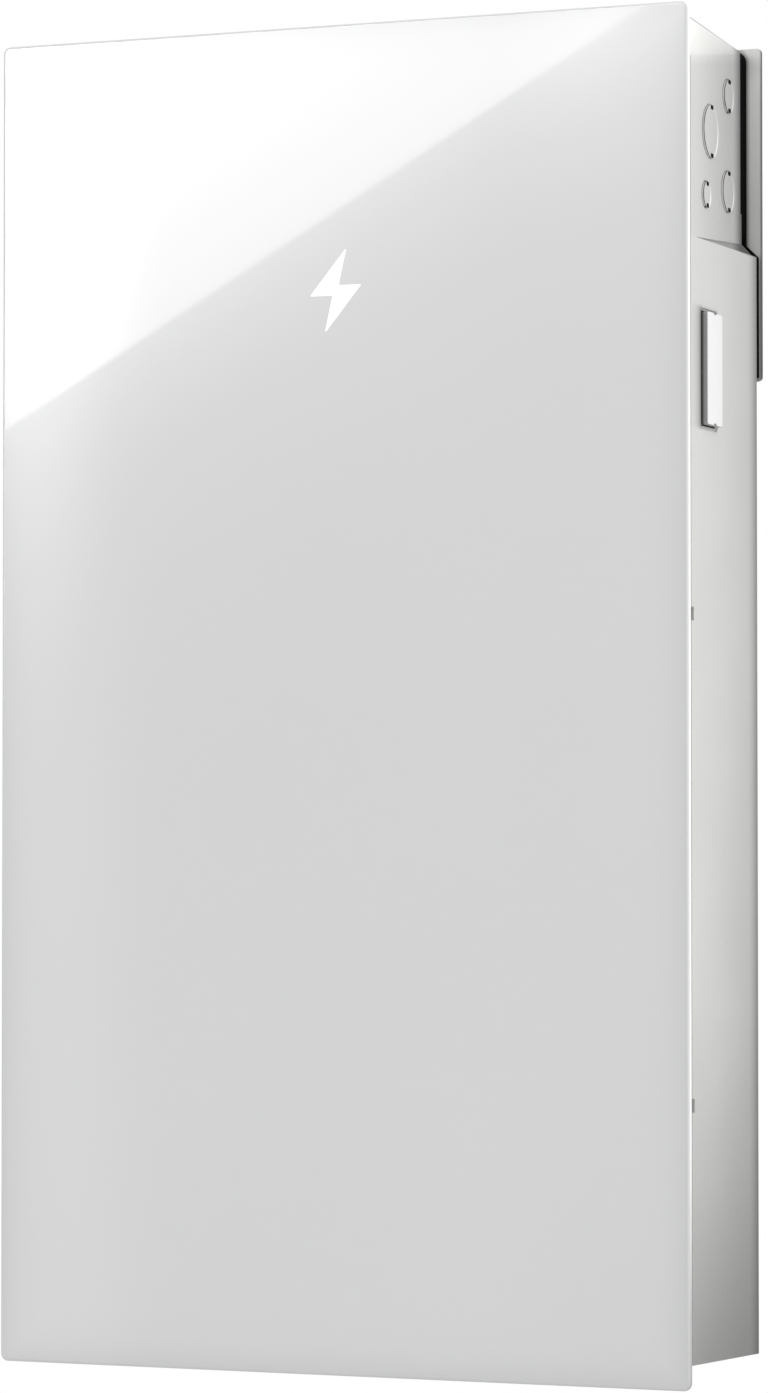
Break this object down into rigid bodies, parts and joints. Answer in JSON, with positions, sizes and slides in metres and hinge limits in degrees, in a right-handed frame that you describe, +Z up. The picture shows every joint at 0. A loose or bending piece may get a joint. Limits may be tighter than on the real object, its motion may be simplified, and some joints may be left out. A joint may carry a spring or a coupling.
{
  "type": "wall battery unit",
  "caption": "Wall-hung home battery with built-in inverter: flat glass front cover, painted enclosure, conduit knockouts, side rocker switch and a screw-on wall bracket.",
  "frame": {"origin": "centre of the wall plate's screw pattern, on the wall plane", "axes": "+Z up, +Y into the wall, +X to the right of someone facing the unit; the glass faces -Y"},
  "size_m": [0.6149, 0.193, 1.105],
  "materials": {
    "front_glass": "polished, back-painted light grey",
    "enclosure_paint": "fine satin powder coat, off-white",
    "bracket_paint": "satin powder coat, light grey",
    "hanger_paint": "matt powder coat, black",
    "hook_paint": "satin powder coat, light grey",
    "spacer_rubber": "matt",
    "lid_paint": "satin powder coat",
    "gasket_rubber": "matt foam",
    "screw_steel": "zinc plated",
    "carrier_aluminium": "mill finish",
    "bond_adhesive": "cured adhesive",
    "snap_plastic": "moulded acetal",
    "clip_plastic": "moulded nylon, black",
    "switch_white": "satin moulded, white",
    "switch_grey": "moulded, mid grey",
    "housing_grey": "moulded, light grey",
    "emblem_white": "fired white enamel",
    "switch_dark": "moulded, black",
    "pin_steel": "ground",
    "plunger_plastic": "moulded, red",
    "tray_paint": "matt primer",
    "cell_film": "blue insulating film over the can",
    "cell_foam": "foam sheet",
    "end_plate_aluminium": "extruded",
    "strap_steel": "band",
    "busbar_copper": "nickel-free copper",
    "board_green": "solder mask",
    "contactor_plastic": "moulded",
    "fuse_body": "glazed tube with end caps",
    "cable_orange": "high-voltage insulation",
    "duct_steel": "galvanised",
    "sink_aluminium": "extruded",
    "module_plastic": "moulded",
    "capacitor_can": "sleeved can",
    "inductor_copper": "enamelled winding",
    "relay_plastic": "moulded",
    "fan_plastic": "moulded",
    "screen_steel": "woven screen",
    "gland_plastic": "moulded nylon",
    "plate_zinc": "galvanised",
    "terminal_grey": "moulded",
    "terminal_green": "moulded",
    "ground_brass": "brushed",
    "connector_black": "moulded",
    "harness_rubber": "cable sheath"
  },
  "bodies": {
    "unit": {"wall_plate": "bracket_paint", "hanger_frame": "hanger_paint", "unit_hooks": "hook_paint", "wall_spacers": "spacer_rubber", "enclosure_tub": "enclosure_paint", "battery_lid": "lid_paint", "battery_lid_gasket": "gasket_rubber", "battery_lid_screws": "screw_steel", "wiring_cover": "lid_paint", "wiring_cover_gasket": "gasket_rubber", "wiring_cover_screws": "screw_steel", "snap_clips": "clip_plastic", "switch_housing": "housing_grey", "switch_gasket": "gasket_rubber", "switch_block": "switch_dark", "rocker_pin": "pin_steel", "battery_tray": "tray_paint", "cells_left": "cell_film", "cells_right": "cell_film", "cell_spacers": "cell_foam", "stack_end_plates": "end_plate_aluminium", "stack_straps": "strap_steel", "busbars": "busbar_copper", "monitor_boards": "board_green", "battery_contactors": "contactor_plastic", "battery_fuse": "fuse_body", "battery_cables": "cable_orange", "duct_wall": "duct_steel", "heat_sink": "sink_aluminium", "power_board": "board_green", "power_modules": "module_plastic", "capacitors": "capacitor_can", "inductors": "inductor_copper", "relays": "relay_plastic", "control_board": "board_green", "fan_frames": "fan_plastic", "intake_screen": "screen_steel", "partition_shelf": "plate_zinc", "shelf_glands": "gland_plastic", "terminal_plate": "plate_zinc", "ac_terminal_block": "terminal_grey", "dc_terminal_block": "terminal_green", "terminal_screws": "screw_steel", "ground_bar": "ground_brass", "ground_screws": "screw_steel", "comms_board": "board_green", "comms_connectors": "connector_black", "wiring_harness": "harness_rubber"},
    "front_cover": {"front_glass": "front_glass", "emblem": "emblem_white", "cover_carrier": "carrier_aluminium", "cover_bond": "bond_adhesive", "snap_studs": "snap_plastic"},
    "rocker": {"rocker_paddle": "switch_grey", "rocker_face": "switch_white"},
    "plunger_upper_body": {"plunger_upper": "plunger_plastic"},
    "plunger_lower_body": {"plunger_lower": "plunger_plastic"},
    "fan_left": {"fan_rotor_left": "fan_plastic"},
    "fan_right": {"fan_rotor_right": "fan_plastic"}
  },
  "joints": [
    {"name": "cover_pull", "type": "slide", "parent": "unit", "child": "front_cover", "axis": [0, -1, 0], "range_m": [0, 0.12]},
    {"name": "rocker_tilt", "type": "hinge", "parent": "unit", "child": "rocker", "pos_m": [0.298, -0.1402, -0.1416], "axis": [0, 1, 0], "range_deg": [-3, 3], "stiffness_Nm_per_rad": 3},
    {"name": "plunger_upper_slide", "type": "slide", "parent": "unit", "child": "plunger_upper_body", "axis": [1, 0, 0], "range_m": [-0.0015, 0.0015]},
    {"name": "plunger_lower_slide", "type": "slide", "parent": "unit", "child": "plunger_lower_body", "axis": [1, 0, 0], "range_m": [-0.0015, 0.0015]},
    {"name": "fan_left_spin", "type": "hinge", "parent": "unit", "child": "fan_left", "pos_m": [-0.15, -0.066, -0.89], "axis": [0, 1, 0], "continuous": true},
    {"name": "fan_right_spin", "type": "hinge", "parent": "unit", "child": "fan_right", "pos_m": [0.15, -0.066, -0.89], "axis": [0, 1, 0], "continuous": true}
  ],
  "couplings": [
    {"joint": "plunger_upper_slide", "follows": "rocker_tilt", "m_per_rad": 0.026},
    {"joint": "plunger_lower_slide", "follows": "rocker_tilt", "m_per_rad": -0.026}
  ]
}
